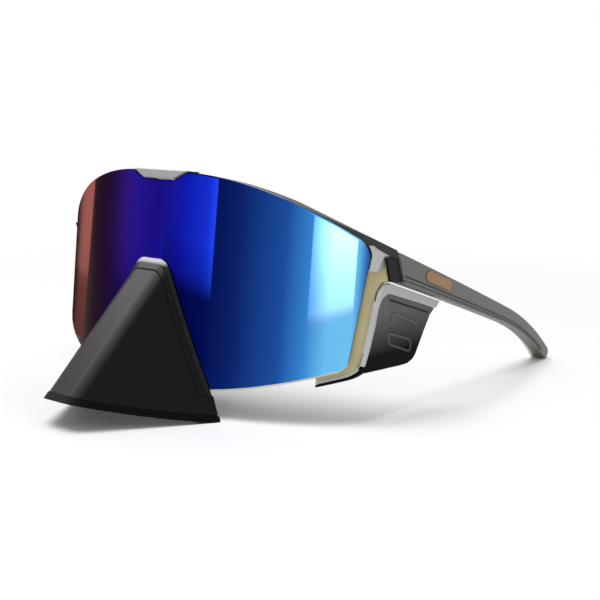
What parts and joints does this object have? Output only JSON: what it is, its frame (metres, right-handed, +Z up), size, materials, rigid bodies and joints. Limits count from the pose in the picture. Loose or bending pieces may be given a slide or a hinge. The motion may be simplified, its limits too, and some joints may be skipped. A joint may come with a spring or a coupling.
{
  "type": "mountaineering sunglasses",
  "caption": "Wrap-around sunglasses: a curved mirror lens in a half-rim frame, folding temples, pull-off side shields and a pull-off nose cover.",
  "frame": {"origin": "on the surface that the glasses stand on, under the middle of their box", "axes": "+X to the wearer's left, +Y to the back of the wearer's head, +Z up"},
  "size_m": [0.1484, 0.1965, 0.0784],
  "materials": {
    "mirror_lens": "polycarbonate with a smooth vacuum mirror coating that runs from blue to purple",
    "grey_plastic": "moulded nylon, satin",
    "light_plastic": "moulded nylon, satin",
    "dark_plastic": "moulded nylon, satin",
    "tan_plastic": "moulded nylon, satin",
    "cover_plastic": "moulded polymer, fine grain, satin",
    "black_plastic": "moulded nylon, matt",
    "black_rubber": "moulded soft elastomer, matt",
    "cream_rubber": "moulded soft elastomer, matt",
    "copper_trim": "copper-coloured lacquer, satin",
    "steel": "stainless, turned"
  },
  "bodies": {
    "frame": {"lens": "mirror_lens", "brow_frame": "grey_plastic", "brow_clip": "light_plastic", "nose_bridge": "black_plastic", "lens_clip_left": "light_plastic", "lens_clip_right": "light_plastic", "side_rim_left": "tan_plastic", "side_rim_right": "tan_plastic", "hinge_block_left": "dark_plastic", "hinge_block_right": "dark_plastic", "hinge_screw_left": "steel", "hinge_screw_right": "steel", "nose_pad_arm_left": "steel", "nose_pad_arm_right": "steel"},
    "temple_left": {"temple_left": "grey_plastic", "temple_tip_left": "cream_rubber", "temple_badge_left": "copper_trim"},
    "temple_right": {"temple_right": "grey_plastic", "temple_tip_right": "cream_rubber", "temple_badge_right": "copper_trim"},
    "side_shield_left": {"shield_frame_left": "light_plastic", "shield_flap_left": "black_rubber"},
    "side_shield_right": {"shield_frame_right": "light_plastic", "shield_flap_right": "black_rubber"},
    "nose_cover": {"nose_cover": "cover_plastic", "nose_cover_rim": "black_rubber", "nose_cover_frame": "cover_plastic", "nose_cover_gasket": "black_rubber", "nose_cover_clip": "cover_plastic"},
    "nose_pad_left": {"nose_pad_left": "black_rubber"},
    "nose_pad_right": {"nose_pad_right": "black_rubber"}
  },
  "joints": [
    {"name": "temple_left_fold", "type": "hinge", "parent": "frame", "child": "temple_left", "pos_m": [0.0702, -0.0236, 0.04937], "axis": [0, 0.1032, 0.9947], "range_deg": [0, 90]},
    {"name": "temple_right_fold", "type": "hinge", "parent": "frame", "child": "temple_right", "pos_m": [-0.0702, -0.0236, 0.04937], "axis": [0, -0.1032, -0.9947], "range_deg": [0, 82]},
    {"name": "nose_cover_pull", "type": "slide", "parent": "frame", "child": "nose_cover", "axis": [0, -1, 0], "range_m": [0, 0.03]},
    {"name": "side_shield_left_pull", "type": "slide", "parent": "frame", "child": "side_shield_left", "axis": [1, 0, 0], "range_m": [0, 0.025]},
    {"name": "side_shield_right_pull", "type": "slide", "parent": "frame", "child": "side_shield_right", "axis": [-1, 0, 0], "range_m": [0, 0.025]},
    {"name": "nose_pad_left_tilt", "type": "hinge", "parent": "frame", "child": "nose_pad_left", "pos_m": [0.01197, -0.04849, 0.02711], "axis": [-0.4772, 0.0907, 0.8741], "range_deg": [-10, 10]},
    {"name": "nose_pad_right_tilt", "type": "hinge", "parent": "frame", "child": "nose_pad_right", "pos_m": [-0.01197, -0.04849, 0.02711], "axis": [-0.4772, -0.0907, -0.8741], "range_deg": [-10, 10]}
  ]
}
